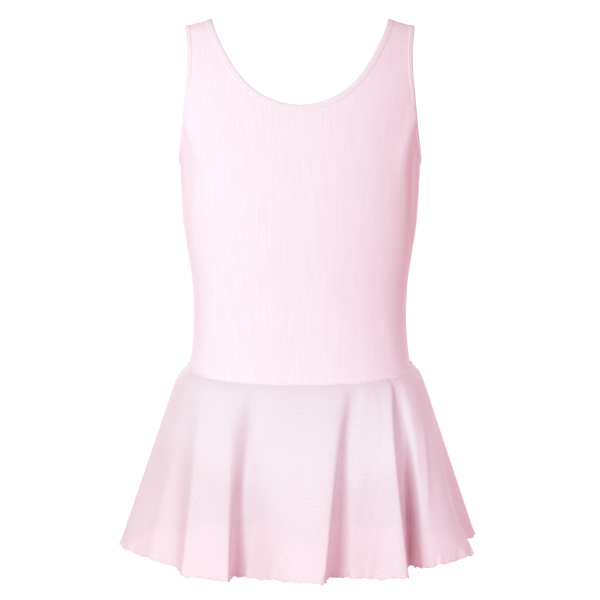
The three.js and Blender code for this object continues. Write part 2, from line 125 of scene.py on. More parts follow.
# Ends a recipe: a height lifts the cloth's relief, and a shade turns it from one pink to the other.
# Where the shade follows the relief, its low parts get the darker pink, which is painted shade.
def finish_cloth(material, shader, height, shade, pinks, strength, distance):
    relief = add_node(
        material, "ShaderNodeBump", {"Height": height, "Strength": strength, "Distance": distance}
    )
    pink = add_node(
        material, "ShaderNodeMix",
        {"Factor": shade, "A": swatch(pinks[0]), "B": swatch(pinks[1])}, data_type="RGBA",
    )
    feed(material, shader, {"Base Color": pink.outputs["Result"], "Normal": relief.outputs["Normal"]})


# A wave texture repeats every 2 pi / 20 of its scaled run, and a cloth's UV map is in metres.
def wave_scale(period_mm):
    return 2 * math.pi / 20 / (period_mm * MM)


print("A 2 mm rib needs a wave scale of", round(wave_scale(2), 1))

# %% [markdown]
# ## Studio
# The garment is lit softly from the left, so that its right side and the folds' right walls turn a
# deeper pink. The room fills the shade with a pink light, and soft panels with a faint cyan tint take
# the pink out of what they reach: a strong one in front on the left, weak ones on the right, at the
# left side and below, and two behind. A narrow spot from the front right lights the skirt's outer
# right panel alone. The white backdrop is seen by the camera alone. The floor is plain and pale, and
# lies far below the garment, which is carried at the shoulders, so that it can be looked at from below.

# %% Light the room and lay the floor
ROOM_LIGHT = 0.68
BACKDROP_LIGHT = 1.05
FLOOR_LIGHT = 0.75
FLOOR_HEIGHT = -3.0
FLOOR_SIZE = 60
SPOT = {"at": (1.75, -1.65, -0.5), "aimed_at": (0.165, -0.05, -0.39), "watts": 46, "degrees": 8.5}
# Name, place, size, watts and tint.
SOFT_PANELS = [
    ("front_panel", (-1.2, -3.2, 0.3), 1.0, 68, "#c0fef8"),
    ("side_panel", (-2.8, -0.6, 0.5), 1.4, 16, "#c0fef8"),
    ("right_panel", (1.8, -2.9, 0.2), 1.2, 6, "#b4f0ff"),
    ("low_panel", (0.1, -0.3, -2.2), 1.2, 6, "#c0fef8"),
    ("back_panel", (-1.2, 3.2, 0.3), 1.0, 42, "#c0fef8"),
    ("far_panel", (1.5, 3.1, 0.3), 1.0, 42, "#c0fef8"),
]

world = bpy.data.worlds.new("studio_room")
world.use_nodes = True
bpy.context.scene.world = world
room = world.node_tree.nodes["Background"]
feed(world, room, {"Color": swatch("#ffc4ce"), "Strength": ROOM_LIGHT})
backdrop = add_node(
    world, "ShaderNodeBackground", {"Color": swatch("#ffffff"), "Strength": BACKDROP_LIGHT}
)
ray = add_node(world, "ShaderNodeLightPath", {})
choose = add_node(
    world, "ShaderNodeMixShader",
    {0: ray.outputs["Is Camera Ray"], 1: room.outputs[0], 2: backdrop.outputs[0]},
)
feed(world, world.node_tree.nodes["World Output"], {"Surface": choose.outputs[0]})
bpy.context.scene.view_settings.view_transform = "Standard"


def add_light(kind, name, at, aimed_at, watts, tint):
    aim = np.array(aimed_at) - np.array(at)
    turned = (
        math.atan2(math.hypot(aim[0], aim[1]), -aim[2]),
        0,
        math.atan2(aim[1], aim[0]) - math.pi / 2,
    )
    bpy.ops.object.light_add(type=kind, location=at, rotation=turned)
    light = bpy.context.object
    light.name = name
    light.data.energy = watts
    light.data.color = swatch(tint)[:3]
    print(name, "at", at)
    return light.data


for name, at, size, watts, tint in SOFT_PANELS:
    light = add_light("AREA", name, at, (0, 0, MIDDLE_HEIGHT), watts, tint)
    light.shape = "SQUARE"
    light.size = size
light = add_light("SPOT", "skirt_spot", SPOT["at"], SPOT["aimed_at"], SPOT["watts"], "#bcf2ff")
light.spot_size = math.radians(SPOT["degrees"])
light.spot_blend = 1.0
light.shadow_soft_size = 0.08

bpy.ops.mesh.primitive_plane_add(size=FLOOR_SIZE, location=(0, 0, FLOOR_HEIGHT))
floor = bpy.context.object
floor.name = "studio_floor"
floor_paint = bpy.data.materials.new("matt white studio floor paint")
floor_paint.use_nodes = True
paint = floor_paint.node_tree.nodes["Principled BSDF"]
feed(floor_paint, paint, {
    "Base Color": swatch("#f6f6f6"), "Roughness": 0.9, "Emission Color": swatch("#ffffff"),
    "Emission Strength": FLOOR_LIGHT,
})
floor.data.materials.append(floor_paint)
floor.visible_diffuse = False
print("Floor", round(-FLOOR_HEIGHT * 1000), "mm below the shoulders")

# %% [markdown]
# ## Cotton and elastane jersey
# The bodice and brief are a fine ribbed single jersey, matte, with upright wales about 0.9 mm
# apart. That is one pixel of the picture, so they are drawn 2.1 mm apart to show. Long upright
# streaks make some wales a little thicker, as in real yarn, and cotton fuzz gives a faint sheen.

# %% Knit the jersey
WALE_MM = 2.1
jersey, knit, lay = cloth_material("cotton elastane jersey", 0.82, 0.12, "#fff3f8")
wales = add_node(
    jersey, "ShaderNodeTexWave",
    {"Vector": lay, "Scale": wave_scale(WALE_MM), "Distortion": 1.1, "Detail": 2.0, "Detail Scale": 0.5},
    bands_direction="X",
)
long_yarns = add_node(jersey, "ShaderNodeMapping", {"Vector": lay, "Scale": (330, 30, 1)})
streaks = add_node(
    jersey, "ShaderNodeTexNoise",
    {"Vector": long_yarns.outputs["Vector"], "Scale": 1.0, "Detail": 2.0, "Roughness": 0.6},
)
fuzz = add_node(jersey, "ShaderNodeTexNoise", {"Vector": lay, "Scale": 900.0, "Detail": 1.0})
patches = add_node(jersey, "ShaderNodeTexNoise", {"Vector": lay, "Scale": 22.0, "Detail": 2.0})
thick_yarns = add_node(
    jersey, "ShaderNodeMapRange",
    {"Value": streaks.outputs["Fac"], "From Min": 0.38, "From Max": 0.68},
)
ribs = add_node(
    jersey, "ShaderNodeMath", {0: wales.outputs["Fac"], 1: thick_yarns.outputs["Result"]},
    operation="MULTIPLY",
)
# The pinks follow random patches and the ribs, so the grooves between wales get painted shade.
height, shade = [
    add_node(
        jersey, "ShaderNodeMath", {0: noise.outputs["Fac"], 1: 0.35, 2: ribs.outputs[0]},
        operation="MULTIPLY_ADD",
    ).outputs[0]
    for noise in (fuzz, patches)
]
finish_cloth(jersey, knit, height, shade, ("#f7e5ee", "#fceef5"), 0.32, 0.00014)
print("Jersey wales drawn", WALE_MM, "mm apart")

# %% [markdown]
# ## Jersey binding over elastic
# The openings are finished with a strip of the same jersey folded over elastic. It is pulled flat,
# so its wales lie across the band and it looks a shade paler and smoother than the panels.

# %% Knit the binding
BINDING_WALE_MM = 1.8
binding_jersey, knit, lay = cloth_material("folded jersey binding", 0.8, 0.1, "#fff6fa")
wales = add_node(
    binding_jersey, "ShaderNodeTexWave",
    {"Vector": lay, "Scale": wave_scale(BINDING_WALE_MM), "Distortion": 1.2, "Detail": 1.0},
    bands_direction="X",
)
gathers = add_node(
    binding_jersey, "ShaderNodeTexNoise", {"Vector": lay, "Scale": 120.0, "Detail": 2.0}
)
height = add_node(
    binding_jersey, "ShaderNodeMath", {0: wales.outputs["Fac"], 1: gathers.outputs["Fac"]},
    operation="MULTIPLY",
).outputs[0]
# The pinks follow the relief, so the grooves between wales get painted shade.
finish_cloth(binding_jersey, knit, height, height, ("#f5e8ee", "#fcf3f7"), 0.5, 0.0002)
print("Binding wales drawn", BINDING_WALE_MM, "mm apart")

# %% [markdown]
# ## Crepe georgette
# The skirt is a thin polyester crepe. Its high-twist yarns pull the weave into a fine pebbled
# grain, and light passes between them, so the leg line shows faintly through it. A closed wall has
# two sides that are one thin cloth, so its outer side covers as the cloth does and its inner side
# is almost clear. Where the pale leotard lies behind it, the skirt is painted a paler pink: painted
# light for what the leotard sends back through the cloth, and the leg line is partly that painted
# edge. The share is kept as a number on its vertices. The grain is about 0.4 mm on the real cloth
# and is drawn at 1.3 mm to show.

# %% Weave the georgette
GRAIN_MM = 1.3
PEBBLE_MM = 2.2
ALONE = ("#f7e4ec", "#fbeff4")
# The paler pair is painted light, for where the leotard lies behind the skirt.
PAINTED_PALER_PINKS = ("#fbeaf3", "#fff7fb")


def weave_georgette(name, least_cover, most_cover):
    georgette, weave, lay = cloth_material(name, 0.7, 0.2, "#fff0f6")
    threads = [
        add_node(
            georgette, "ShaderNodeTexWave",
            {"Vector": lay, "Scale": wave_scale(GRAIN_MM), "Distortion": 2.5, "Detail": 2.0,
             "Detail Scale": 1.5},
            bands_direction=direction,
        ).outputs["Fac"]
        for direction in ("X", "Y")
    ]
    pebbles = add_node(
        georgette, "ShaderNodeTexNoise",
        {"Vector": lay, "Scale": 1 / (PEBBLE_MM * MM), "Detail": 3.0, "Roughness": 0.65},
    )
    crossing = add_node(
        georgette, "ShaderNodeMath", {0: threads[0], 1: threads[1]}, operation="MULTIPLY"
    )
    grain = add_node(
        georgette, "ShaderNodeMath", {0: crossing.outputs[0], 1: 0.6, 2: pebbles.outputs["Fac"]},
        operation="MULTIPLY_ADD",
    ).outputs[0]
    relief = add_node(
        georgette, "ShaderNodeBump", {"Height": grain, "Strength": 0.35, "Distance": 0.00013}
    ).outputs["Normal"]
    # The pinks follow the grain, so the hollows of the weave get painted shade.
    alone, paler_painted_pink = [
        add_node(
            georgette, "ShaderNodeMix", {"Factor": grain, "A": swatch(dark), "B": swatch(light)},
            data_type="RGBA",
        ).outputs["Result"]
        for dark, light in (ALONE, PAINTED_PALER_PINKS)
    ]
    # Painted show-through: the share of the paler painted pinks, high where the leotard lies behind.
    show_through_node = add_node(georgette, "ShaderNodeAttribute", {}, attribute_name="painted_show_through_share")
    pink = add_node(
        georgette, "ShaderNodeMix",
        {"Factor": show_through_node.outputs["Fac"], "A": alone, "B": paler_painted_pink}, data_type="RGBA",
    ).outputs["Result"]
    cover = add_node(
        georgette, "ShaderNodeMapRange",
        {"Value": grain, "From Min": 0.3, "From Max": 1.0, "To Min": least_cover, "To Max": most_cover},
    )
    feed(georgette, weave, {"Base Color": pink, "Normal": relief})
    glow = add_node(georgette, "ShaderNodeBsdfTranslucent", {"Color": pink, "Normal": relief})
    cloth = add_node(
        georgette, "ShaderNodeMixShader", {0: 0.1, 1: weave.outputs[0], 2: glow.outputs[0]}
    )
    clear = add_node(georgette, "ShaderNodeBsdfTransparent", {"Color": swatch("#f1ccd6")})
    sheer = add_node(
        georgette, "ShaderNodeMixShader",
        {0: cover.outputs["Result"], 1: clear.outputs[0], 2: cloth.outputs[0]},
    )
    feed(georgette, georgette.node_tree.nodes["Material Output"], {"Surface": sheer.outputs[0]})
    return georgette


georgette = weave_georgette("polyester crepe georgette", 0.9, 0.97)
georgette_inside = weave_georgette("crepe georgette wrong side", 0.05, 0.12)
print("Georgette grain drawn", GRAIN_MM, "mm apart")

# %% [markdown]
# ## Polyester sewing thread
# Thread is smooth filament, so it is a little shinier than the cloth. Its plies show as slanted
# bands of relief with painted shade in their grooves, drawn wider than their real 0.4 mm.

# %% Twist the thread
PLY_MM = 1.6
thread, twist, lay = cloth_material("polyester overlock thread", 0.55, 0.05, "#ffffff")
plies = add_node(
    thread, "ShaderNodeTexWave", {"Vector": lay, "Scale": wave_scale(PLY_MM), "Distortion": 0.8},
    bands_direction="DIAGONAL",
).outputs["Fac"]
# The pinks follow the plies, so the grooves between them get painted shade.
finish_cloth(thread, twist, plies, plies, ("#f0d5e0", "#fbeaf2"), 0.6, 0.0002)
print("Thread plies drawn", PLY_MM, "mm apart")

# %% [markdown]
# ## The garment's form
# A pattern cutter would say how wide and how deep the body is at each height. The tables below do
# that, in the same rings as the solids, and are read smoothly between their rows. That keeps every
# piece true to one body, where separate sculpted pieces would drift apart at the seams.

# %% Rings of the body
# Height, half width, reach to the front and reach to the back, in millimetres.
BODICE_RINGS = [
    (-325, 102, 75.5, 75), (-300, 97, 74, 67), (-275, 93.8, 72.5, 62.5), (-250, 92.8, 71.5, 60.5),
    (-225, 94, 71.5, 62), (-200, 97.6, 72.5, 65.5), (-175, 101.4, 73.5, 69.5),
    (-150, 103.2, 73.5, 72), (-120, 104.8, 70.5, 72), (-92, 107.3, 65, 68), (-66, 110.8, 57, 60),
    (-42, 113, 46, 48), (-22, 113.2, 31.5, 32.5), (-8, 112.4, 18, 18.5), (-1.5, 112, 8, 8),
    (0, 112, 0, 0),
]
BRIEF_RINGS = [
    (-275, 93.8, 72.5, 62.5), (-300, 97, 74, 67), (-325, 102, 75.5, 75), (-348, 105.8, 76.5, 82),
    (-368, 107, 76, 86), (-392, 108, 73, 85), (-415, 108, 66, 77), (-434, 107, 52, 61),
    (-447, 106, 33, 39), (-454, 106, 14, 17), (-456, 106, 0, 0),
]
SQUARENESS = 2.6
SHOULDER_SLOPE = 0.27
SHOULDER_PIVOT = 88
SHOULDER_FROM = -60
WAIST_SIDE = -298
WAIST_FRONT_DIP = 10
WAIST_BACK_RISE = 2
FINE_LEVELS = 4000
STEP = 1e-3


# A smooth value through four neighbours, a share of the way from the second to the third.
def through(before, start, end, after, share, round_start=0.5, round_end=0.5):
    rise = round_start * (end - before)
    fall = round_end * (after - start)
    cube = 2 * start - 2 * end + rise + fall
    square = 3 * end - 3 * start - 2 * rise - fall
    return ((cube * share + square) * share + rise) * share + start


# Reads a table, which has one more row at each end, at rows that need not be whole.
def read_table(table, row):
    start = np.clip(np.floor(row), 0, len(table) - 4).astype(int)
    share = (row - start)[..., None]
    return through(table[start], table[start + 1], table[start + 2], table[start + 3], share)


def make_form(rings):
    table = np.array(rings, float)
    closed_over = table[-2] * (1, 1, -1, -1)
    return np.vstack([2 * table[0] - table[1], table, closed_over])


# Past its closed end, at the crest or the crotch, a form's front and back change places.
def ring_at(form, level):
    closed_end = len(form) - 3
    level = np.asarray(level, float)
    past = level > closed_end
    ring = read_table(form, np.where(past, 2 * closed_end - level, level))
    swapped = ring[..., [0, 1, 3, 2]] * (1, 1, -1, -1)
    return np.where(past[..., None], swapped, ring)


def level_of(form, height):
    closed_end = len(form) - 3
    levels = np.linspace(0, closed_end, FINE_LEVELS)
    heights = ring_at(form, levels)[:, 0]
    way = np.sign(heights[-1] - heights[0])
    return np.interp(way * np.asarray(height), way * heights, levels)


BODICE = make_form(BODICE_RINGS)
BRIEF = make_form(BRIEF_RINGS)
BODICE_CREST = len(BODICE_RINGS) - 1
BRIEF_CROTCH = len(BRIEF_RINGS) - 1
print("Half width at the waist:", np.round(ring_at(BODICE, level_of(BODICE, -250))[1], 1), "mm")


# %% Points and normals of a form
# The angle is 0 at the wearer's left side and a right angle in front.
def unit_ring(angle):
    across = np.cos(angle)
    ahead = np.sin(angle)
    reach = (np.abs(across) ** SQUARENESS + np.abs(ahead) ** SQUARENESS) ** (-1 / SQUARENESS)
    return across * reach, ahead * reach


def angle_at_width(share):
    share = np.clip(share, 0, 1)
    return np.arctan2((1 - share ** SQUARENESS) ** (1 / SQUARENESS), share)


def angle_at_depth(share):
    share = np.clip(share, 0, 1)
    return np.arctan2(share, (1 - share ** SQUARENESS) ** (1 / SQUARENESS))


def smooth_step(value, start, end):
    share = np.clip((value - start) / (end - start), 0, 1)
    return share * share * (3 - 2 * share)


def form_points(form, angle, level):
    height, wide, front, back = np.moveaxis(ring_at(form, level), -1, 0)
    across, ahead = unit_ring(angle)
    x = wide * across
    depth = np.where(ahead > 0, front, back)
    near_top = smooth_step(height, SHOULDER_FROM, 0)
    slope = SHOULDER_SLOPE * (np.abs(x) - SHOULDER_PIVOT) * near_top
    return np.stack([x, -depth * ahead, height - slope], axis=-1)


def unit(vectors):
    return vectors / np.linalg.norm(vectors, axis=-1, keepdims=True)


def gaps(points, axis=0):
    return np.linalg.norm(np.diff(points, axis=axis), axis=-1)


def running_total(steps):
    return np.concatenate([[0], np.cumsum(steps)])


def form_normals(form, angle, level):
    round_it = form_points(form, angle + STEP, level) - form_points(form, angle - STEP, level)
    along_it = form_points(form, angle, level + STEP) - form_points(form, angle, level - STEP)
    upwards = np.sign(form[-2, 0] - form[1, 0])
    return unit(np.cross(round_it, along_it)) * -upwards


def seam_height(angle):
    ahead = unit_ring(angle)[1]
    bend = np.abs(ahead) ** 1.5
    return WAIST_SIDE + np.where(ahead > 0, -WAIST_FRONT_DIP, WAIST_BACK_RISE) * bend


print("Front of the waist seam:", np.round(seam_height(np.array(math.pi / 2)), 1), "mm")

# %% [markdown]
# ## Edges of the openings
# The neckline is an arc of an ellipse, deeper at the back. The armholes and legs are short tables.
# A cutter draws such edges on paper, but on the form they are places, an angle and a level, so
# that a binding can follow them round the body.

# %% Edges and insets
NECK_HALF_WIDTH = 82
NECK_AT_SHOULDER = 76.4
NECK_BOTTOM = {1: -69.6, -1: -102}
ARMHOLE = np.array([
    (-114, -0.19), (-118, 0), (-114, 0.19), (-103, 0.36), (-86, 0.49), (-64, 0.59), (-42, 0.645),
    (-22, 0.65), (-8, 0.62), (0, 0.6), (8, 0.58),
])
LEG = {
    1: np.array([
        (-362, 1.07), (-364, 1), (-366, 0.93), (-373, 0.79), (-386, 0.565), (-401, 0.36),
        (-418, 0.225), (-436, 0.175), (-450, 0.17), (-456, 0.17), (-462, 0.17),
    ]),
    -1: np.array([
        (-361, 1.015), (-364, 1), (-367, 0.985), (-378, 0.93), (-393, 0.82), (-410, 0.65),
        (-428, 0.42), (-443, 0.235), (-453, 0.18), (-456, 0.17), (-459, 0.16),
    ]),
}


def neck_edge(facing, share):
    turn = math.asin(NECK_AT_SHOULDER / NECK_HALF_WIDTH)
    rise = -NECK_BOTTOM[facing] / (1 - math.cos(turn))
    height = NECK_BOTTOM[facing] + rise * (1 - np.cos(share * turn))
    level = np.where(share >= 1, BODICE_CREST, level_of(BODICE, height))
    wide = ring_at(BODICE, level)[..., 1]
    return facing * angle_at_width(NECK_HALF_WIDTH * np.sin(share * turn) / wide), level


def armhole_edge(facing, share):
    height, depth = np.moveaxis(read_table(ARMHOLE, share * (len(ARMHOLE) - 3)), -1, 0)
    level = np.where(share >= 1, BODICE_CREST, level_of(BODICE, height))
    return facing * angle_at_depth(depth), level


def leg_edge(facing, share):
    height, width = np.moveaxis(read_table(LEG[facing], share * (len(LEG[facing]) - 3)), -1, 0)
    level = np.where(share >= 1, BRIEF_CROTCH, level_of(BRIEF, height))
    return facing * np.where(share <= 0, 0, angle_at_width(width)), level


# ends are the directions of each edge where it crosses from front to back, and out is a place
# out in the opening.
OPENINGS = {
    "neck": {"form": BODICE, "edge": neck_edge, "ends": ((1, 0, 0), (0, 1, 0)),
             "out": (0, 0, 10), "width": 6},
    "armhole": {"form": BODICE, "edge": armhole_edge, "ends": ((0, 1, 0), (0, 1, 0)),
                "out": (140, 0, -60), "width": 5},
    "leg": {"form": BRIEF, "edge": leg_edge, "ends": ((0, 1, 0), (0, 1, 0)),
            "out": (140, 0, -460), "width": 5.5},
}


# The places that lie a distance in from an opening's edge, found by a few least-squares steps.
def inset(opening, facing, share, distance):
    form = opening["form"]
    share = np.asarray(share, float)

    def at(where):
        return form_points(form, *opening["edge"](facing, np.clip(where, 0, 1)))

    angle, level = opening["edge"](facing, share)
    run = at(share + STEP) - at(share - STEP)
    run = np.where((share <= 0)[:, None], opening["ends"][0], run)
    run = np.where((share >= 1)[:, None], opening["ends"][1], run)
    start = form_points(form, angle, level)
    aim = unit(np.cross(form_normals(form, angle, level), run))
    outwards = np.sum(aim * (start - opening["out"]), axis=-1, keepdims=True) < 0
    goal = start + np.where(outwards, -aim, aim) * np.reshape(distance, (-1, 1))
    for _ in range(6):
        point = form_points(form, angle, level)
        by_angle = (form_points(form, angle + STEP, level) - point) / STEP
        by_level = (form_points(form, angle, level + STEP) - point) / STEP
        miss = goal - point
        aa, ab, bb = [np.sum(u * v, axis=-1) for u, v in
                      ((by_angle, by_angle), (by_angle, by_level), (by_level, by_level))]
        am, bm = np.sum(by_angle * miss, axis=-1), np.sum(by_level * miss, axis=-1)
        whole = aa * bb - ab * ab
        angle = angle + (am * bb - bm * ab) / whole
        level = level + (bm * aa - am * ab) / whole
    return angle, level


# Shares along an edge that are evenly spaced, but closer together where it bends.
BEND_ROOM = 14


def even_shares(opening, facing, count):
    fine = np.linspace(0, 1, 1201)
    points = form_points(opening["form"], *opening["edge"](facing, fine))
    ways = np.diff(points, axis=0)
    lengths = np.linalg.norm(ways, axis=1)
    ways = ways / np.maximum(lengths, 1e-9)[:, None]
    bends = np.arccos(np.clip(np.sum(ways[1:] * ways[:-1], axis=1), -1, 1))
    run = running_total(lengths + BEND_ROOM * np.concatenate([[0], bends]))
    return np.interp(np.linspace(0, run[-1], count + 1), run, fine)


for name, opening in OPENINGS.items():
    edge_points = form_points(opening["form"], *opening["edge"](1, np.linspace(0, 1, 400)))
    print("Front half of the", name, "edge:", round(float(gaps(edge_points).sum())), "mm on one side")

# %% [markdown]
# ## Laying a grid as cloth
# Cloth starts flat. Each piece starts as Blender's grid primitive, with as many squares as the
# piece needs, and its vertices are laid on the form. A subdivided cage would need many loop cuts
# round the openings. A laid grid has clean rows along every edge, and it keeps a real UV map, in
# metres of cloth, for the knit and the weave.

# %% Helpers for laid cloth
SHARP_DEGREES = 55


def lay_grid(name, points, cloth_uv, outwards):
    rows, columns = points.shape[:2]
    bpy.ops.object.select_all(action="DESELECT")
    bpy.ops.mesh.primitive_grid_add(
        x_subdivisions=columns - 1, y_subdivisions=rows - 1, size=1, location=(0, 0, 0)
    )
    piece = bpy.context.object
    piece.name = name
    mesh = piece.data
    mesh.name = name
    flat = np.empty(len(mesh.vertices) * 3)
    mesh.vertices.foreach_get("co", flat)
    flat = flat.reshape(-1, 3)
    column = np.rint((flat[:, 0] + 0.5) * (columns - 1)).astype(int)
    row = np.rint((flat[:, 1] + 0.5) * (rows - 1)).astype(int)
    mesh.vertices.foreach_set("co", (points[row, column] * MM).ravel())
    uv = cloth_uv[row, column][corner_vertices(mesh)] * MM
    mesh.uv_layers[0].name = "UVMap"
    mesh.uv_layers["UVMap"].data.foreach_set("uv", uv.ravel())
    mesh.update()
    normals = read_vertices(piece, "normal")
    if np.sum(normals * outwards[row, column]) < 0:
        edit(piece, lambda: bpy.ops.mesh.flip_normals())
    return piece


def read_vertices(piece, what):
    values = np.empty(len(piece.data.vertices) * 3)
    piece.data.vertices.foreach_get(what, values)
    return values.reshape(-1, 3)


def corner_vertices(mesh):
    corners = np.empty(len(mesh.loops), int)
    mesh.loops.foreach_get("vertex_index", corners)
    return corners


def select_only(piece):
    bpy.ops.object.select_all(action="DESELECT")
    piece.select_set(True)
    bpy.context.view_layer.objects.active = piece


def edit(piece, steps):
    select_only(piece)
    bpy.ops.object.mode_set(mode="EDIT")
    bpy.ops.mesh.select_all(action="SELECT")
    steps()
    bpy.ops.object.mode_set(mode="OBJECT")


def apply_modifier(piece, kind, **settings):
    modifier = piece.modifiers.new(kind.lower(), kind)
    for name, value in settings.items():
        setattr(modifier, name, value)
    select_only(piece)
    bpy.ops.object.modifier_apply(modifier=modifier.name)


def finish_piece(piece, material, slot, *nodes):
    if material:
        piece.data.materials.append(material)
    select_only(piece)
    bpy.ops.object.shade_smooth_by_angle(angle=math.radians(SHARP_DEGREES))
    if nodes:
        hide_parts(*nodes)
    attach(piece, "root")
    count = sum(len(polygon.vertices) - 2 for polygon in piece.data.polygons)
    print(piece.name, "has", count, "triangles")


# A closed wall has two sides, and only one of them counts as cloth.
def print_cloth(piece):
    area = sum(polygon.area for polygon in piece.data.polygons) / 2
    print("Cloth in it:", round(area * 1e4, 1), "square centimetres")


print("Cloth that turns by more than", SHARP_DEGREES, "degrees gets a sharp edge")

# %% [markdown]
# ## Creases
# Worn jersey shows soft ridges where it is pulled under the arm and fine puckers along a seam. They
# are given one by one as paths on the form, each with its own width and height. Sculpting would give
# no record of where each one lies, and cloth simulation would lose the fit.

# %% Press a crease into a piece
CREASE_FADE_IN = 0.25
CREASE_FADE_OUT = 0.45


# How far each point lies from a path, and its place along the path, from 0 at the start to 1.
def near_path(points, path):
    best = np.full(len(points), 1e9)
    along = np.zeros(len(points))
    count = len(path) - 1
    for index in range(count):
        start, way = path[index], path[index + 1] - path[index]
        share = np.clip(np.sum((points - start) * way, axis=1) / np.sum(way * way), 0, 1)
        gap = np.linalg.norm(points - start - share[:, None] * way, axis=1)
        closer = gap < best
        best = np.where(closer, gap, best)
        along = np.where(closer, (index + share) / count, along)
    return best, along


def press(piece, path, width, height):
    points = read_vertices(piece, "co") / MM
    normals = read_vertices(piece, "normal")
    gap, along = near_path(points, np.array(path))
    fade = smooth_step(along, 0, CREASE_FADE_IN) * (1 - smooth_step(along, 1 - CREASE_FADE_OUT, 1))
    lift = height * fade * np.exp(-((gap / width) ** 2))
    piece.data.vertices.foreach_set("co", ((points + normals * lift[:, None]) * MM).ravel())
    piece.data.update()


# A point of the form from its place in the front view, on the front or the back.
def on_form(form, x, height, facing):
    level = level_of(form, height)
    angle = facing * angle_at_width(abs(x) / ring_at(form, level)[1])
    point = form_points(form, angle, level)
    point[0] = math.copysign(point[0], x)
    return point


def press_all(piece, form, facing, creases):
    for width, height, *places in creases:
        press(piece, [on_form(form, x, z, facing) for x, z in places], width, height)


print("Creases fade in over", CREASE_FADE_IN, "and out over", CREASE_FADE_OUT, "of their length")

# %% [markdown]
# ## Bodice and brief panels
# Each panel is cut on the fold, so only its left half is laid, and the Mirror modifier makes the
# other half and joins it along the middle. Rows climb from the waist seam at the side and in the
# middle until an opening's edge takes over. Each panel runs a little under its bindings. The seams
# at the sides are drawn in by half a millimetre, as sewing draws them.

# %% Lay a panel that is the same on both sides
SHADOW_GAP = 0.05
UNDER_BINDING = 1.0
SIDE_COLUMNS = [0, 0.005, 0.01, 0.016, 0.024]
FIRST_EVEN_COLUMN = 0.036
SIDE_SEAM = {"drawn_in": 0.5, "reach": 1.6, "up_to_angle": 0.4}
JERSEY_THICK = 0.8


# Cloth laid out flat: the distance round from the middle, and up from the waist seam.
def flat_places(form, angle, level, facing):
    middle = facing * math.pi / 2
    shares = np.linspace(0, 1, 25)
    round_it = [form_points(form, middle + (angle - middle) * s, level) for s in shares]
    start = level_of(form, seam_height(angle))
    up_it = [form_points(form, angle, start + (level - start) * s) for s in shares]
    lengths = [sum(np.linalg.norm(b - a, axis=-1) for a, b in zip(line, line[1:]))
               for line in (round_it, up_it)]
    return np.stack(lengths, axis=-1)


def levels_up_to(form, angle, last, count):
    first = level_of(form, seam_height(np.array(angle)))
    return np.full(count, angle), first + (last - first) * np.arange(count) / count


def joined(first, then):
    return [np.concatenate(pair) for pair in zip(first, then)]


def panel_edge(opening, facing, count, first_angle):
    shares = even_shares(opening, facing, count)
    angle, level = inset(opening, facing, shares, opening["width"] - UNDER_BINDING)
    angle[0] = first_angle
    return angle, level


def body_panel(name, form, sides, middles, across, rise, facing):
    share = np.concatenate([SIDE_COLUMNS, np.linspace(FIRST_EVEN_COLUMN, 1, across)])
    side_angle, side_level = [values[:, None] for values in sides]
    middle_angle, middle_level = [values[:, None] for values in middles]
    angle = side_angle + (middle_angle - side_angle) * share
    level = side_level + (middle_level - side_level) * share ** rise
    level[0] = level_of(form, seam_height(angle[0]))
    points = form_points(form, angle, level)
    normals = form_normals(form, angle, level)
    near_side = np.exp(-((np.abs(points[..., 1]) / SIDE_SEAM["reach"]) ** 2))
    lift = -SIDE_SEAM["drawn_in"] * near_side * (np.abs(angle) < SIDE_SEAM["up_to_angle"])
    points = points + normals * lift[..., None]
    points[..., 1] -= facing * SHADOW_GAP
    piece = lay_grid(name, points, flat_places(form, angle, level, facing), normals)
    apply_modifier(piece, "MIRROR", merge_threshold=1e-5)
    straighten_mirrored_uv(piece)
    return piece


# The knit runs on across the middle instead of turning back on itself.
def straighten_mirrored_uv(piece):
    mesh = piece.data
    corners = corner_vertices(mesh)
    uv = np.empty(len(mesh.loops) * 2)
    layer = mesh.uv_layers["UVMap"].data
    layer.foreach_get("uv", uv)
    uv = uv.reshape(-1, 2)
    uv[:, 0] *= np.where(read_vertices(piece, "co")[corners, 0] < -1e-6, -1, 1)
    layer.foreach_set("uv", uv.ravel())


def thicken(piece, thickness, inside=0):
    apply_modifier(
        piece, "SOLIDIFY", thickness=thickness * MM, offset=-1, material_offset=inside
    )


def finish_panels(form, creases, panels):
    for piece, facing, node in panels:
        press_all(piece, form, facing, creases[facing])
        thicken(piece, JERSEY_THICK)
        finish_piece(piece, jersey, "jersey", node)
        print_cloth(piece)


print("Jersey panels are", JERSEY_THICK, "mm thick")

# %% Bodice front and back
BODICE_ROWS = {"side": 60, "armhole": 84, "neck": {1: 66, -1: 78}, "across": 56, "rise": 1.6}
# Each crease has its width and height, and then its places across and up.
BODICE_CREASES = {
    1: [
        (6.5, 1.5, (-104, -72), (-95, -92), (-84, -118), (-84, -150)),
        (6, -1.0, (-100, -100), (-96, -125), (-95, -160)),
        (7, 2.4, (103, -66), (96, -86), (89, -108), (86, -150)),
        (6.5, -2.4, (100, -106), (97.5, -126), (96, -165), (93, -225)),
        (5, 0.35, (60, -96), (62, -120), (66, -150)),
        (6, 0.3, (-56, -100), (-60, -128), (-62, -160)),
        (8, -0.35, (38, -205), (44, -230), (46, -262)),
        (9, -0.3, (-30, -215), (-36, -245), (-38, -280)),
        (6, 0.5, (70, -236), (76, -262), (84, -292)),
        (6, 0.45, (-74, -240), (-80, -266), (-86, -296)),
        (7, 0.25, (12, -130), (10, -165), (14, -205)),
    ],
    -1: [
        (7, 1.3, (-102, -74), (-92, -98), (-82, -128), (-80, -160)),
        (7, 1.5, (102, -70), (94, -94), (86, -120), (83, -152)),
        (9, -0.8, (-14, -150), (-12, -190), (-8, -235)),
        (7, 0.7, (52, -225), (34, -246), (18, -258)),
        (7, 0.6, (-56, -232), (-36, -252), (-20, -262)),
        (6, 0.5, (62, -262), (40, -276), (22, -284)),
        (6, 0.55, (-64, -268), (-44, -280), (-26, -287)),
    ],
}


